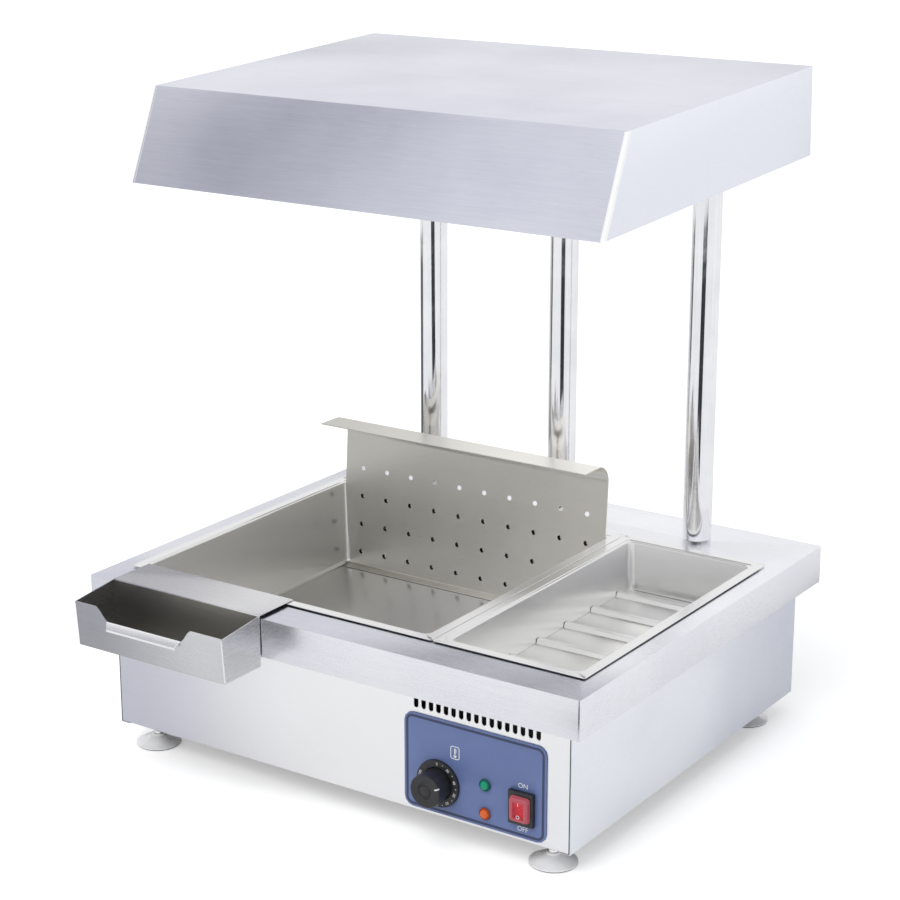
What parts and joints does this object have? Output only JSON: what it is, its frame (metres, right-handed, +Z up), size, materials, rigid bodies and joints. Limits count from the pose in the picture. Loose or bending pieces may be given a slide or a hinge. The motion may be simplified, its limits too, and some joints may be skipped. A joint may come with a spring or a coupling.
{
  "type": "chip warmer",
  "caption": "Tabletop chip warmer: a heated pan box with drop-in pans, a box rack, a hook-on tray and a lamp hood on posts over it.",
  "frame": {"origin": "middle of the footprint, deck and hook-on tray together, at the feet's undersides", "axes": "+X to the right seen from the front, +Y from the front to the back, +Z up"},
  "size_m": [0.6, 0.579, 0.7158],
  "materials": {
    "satin_steel": "satin brushed",
    "polished_steel": "mirror polished",
    "foot_chrome": "bright plated",
    "plated_steel": "zinc plated",
    "element_sheath": "heat darkened",
    "control_blue": "satin paint",
    "black_plastic": "satin",
    "rocker_red": "gloss",
    "cover_clear": "clear, faintly pink",
    "lens_green": "gloss",
    "lens_orange": "gloss",
    "lamp_quartz": "clear",
    "holder_ceramic": "fired, unglazed"
  },
  "bodies": {
    "cabinet": {"deck_cover": "satin_steel", "side_panel_left": "satin_steel", "side_panel_right": "satin_steel", "front_panel": "satin_steel", "rear_panel": "satin_steel", "base_plate": "satin_steel", "heating_well": "satin_steel", "seam_bar": "satin_steel", "hood_shell": "satin_steel", "hood_liner": "satin_steel", "post_left": "polished_steel", "post_middle": "polished_steel", "post_right": "polished_steel", "lamp_reflector": "polished_steel", "lamp_guard": "polished_steel", "foot_nut_front_left": "plated_steel", "foot_nut_front_right": "plated_steel", "foot_nut_rear_left": "plated_steel", "foot_nut_rear_right": "plated_steel", "element_clip_left": "plated_steel", "element_clip_right": "plated_steel", "thermostat": "plated_steel", "thermostat_bulb": "plated_steel", "post_nut_left": "plated_steel", "post_nut_middle": "plated_steel", "post_nut_right": "plated_steel", "post_rail": "plated_steel", "head_rail": "plated_steel", "reflector_hanger_left": "plated_steel", "reflector_hanger_right": "plated_steel", "lamp_holder_left_inner": "holder_ceramic", "lamp_holder_left_outer": "holder_ceramic", "lamp_holder_right_inner": "holder_ceramic", "lamp_holder_right_outer": "holder_ceramic", "heating_element": "element_sheath", "control_plate": "control_blue", "dial_ring": "black_plastic", "switch_housing": "black_plastic", "cable_gland": "black_plastic", "terminal_block": "black_plastic", "splash_cover": "cover_clear", "pilot_light_power": "lens_green", "pilot_light_heat": "lens_orange", "lamp_left": "lamp_quartz", "lamp_right": "lamp_quartz"},
    "control_knob": {"knob": "black_plastic", "thermostat_shaft": "plated_steel"},
    "power_rocker": {"rocker": "rocker_red"},
    "foot_front_left": {"foot_front_left": "foot_chrome"},
    "foot_front_right": {"foot_front_right": "foot_chrome"},
    "foot_rear_left": {"foot_rear_left": "foot_chrome"},
    "foot_rear_right": {"foot_rear_right": "foot_chrome"},
    "pan_left": {"pan_left": "satin_steel"},
    "perforated_plate": {"perforated_plate": "satin_steel"},
    "hook_on_tray": {"hook_on_tray": "satin_steel"},
    "pan_right": {"pan_right": "satin_steel"},
    "box_rack": {"box_rack": "satin_steel"}
  },
  "joints": [
    {"name": "thermostat_turn", "type": "hinge", "parent": "cabinet", "child": "control_knob", "pos_m": [0.1325, -0.2075, 0.062], "axis": [0, 1, 0], "range_deg": [-68, 222]},
    {"name": "switch_rock", "type": "hinge", "parent": "cabinet", "child": "power_rocker", "pos_m": [0.229, -0.2116, 0.062], "axis": [-1, 0, 0], "range_deg": [0, 20]},
    {"name": "foot_front_left_screw", "type": "hinge", "parent": "cabinet", "child": "foot_front_left", "pos_m": [-0.249, -0.1845, 0.0125], "axis": [0, 0, 1], "continuous": true},
    {"name": "foot_front_right_screw", "type": "hinge", "parent": "cabinet", "child": "foot_front_right", "pos_m": [0.249, -0.1845, 0.0125], "axis": [0, 0, 1], "continuous": true},
    {"name": "foot_rear_left_screw", "type": "hinge", "parent": "cabinet", "child": "foot_rear_left", "pos_m": [-0.249, 0.2235, 0.0125], "axis": [0, 0, 1], "continuous": true},
    {"name": "foot_rear_right_screw", "type": "hinge", "parent": "cabinet", "child": "foot_rear_right", "pos_m": [0.249, 0.2235, 0.0125], "axis": [0, 0, 1], "continuous": true},
    {"name": "pan_left_lift", "type": "slide", "parent": "cabinet", "child": "pan_left", "axis": [0, 0, 1], "range_m": [0, 0.11]},
    {"name": "plate_lift", "type": "slide", "parent": "pan_left", "child": "perforated_plate", "axis": [0, 0, 1], "range_m": [0, 0.13]},
    {"name": "tray_lift", "type": "slide", "parent": "pan_left", "child": "hook_on_tray", "axis": [0, 0, 1], "range_m": [0, 0.08]},
    {"name": "pan_right_lift", "type": "slide", "parent": "cabinet", "child": "pan_right", "axis": [0, 0, 1], "range_m": [0, 0.11]},
    {"name": "rack_lift", "type": "slide", "parent": "pan_right", "child": "box_rack", "axis": [0, 0, 1], "range_m": [0, 0.11]}
  ]
}
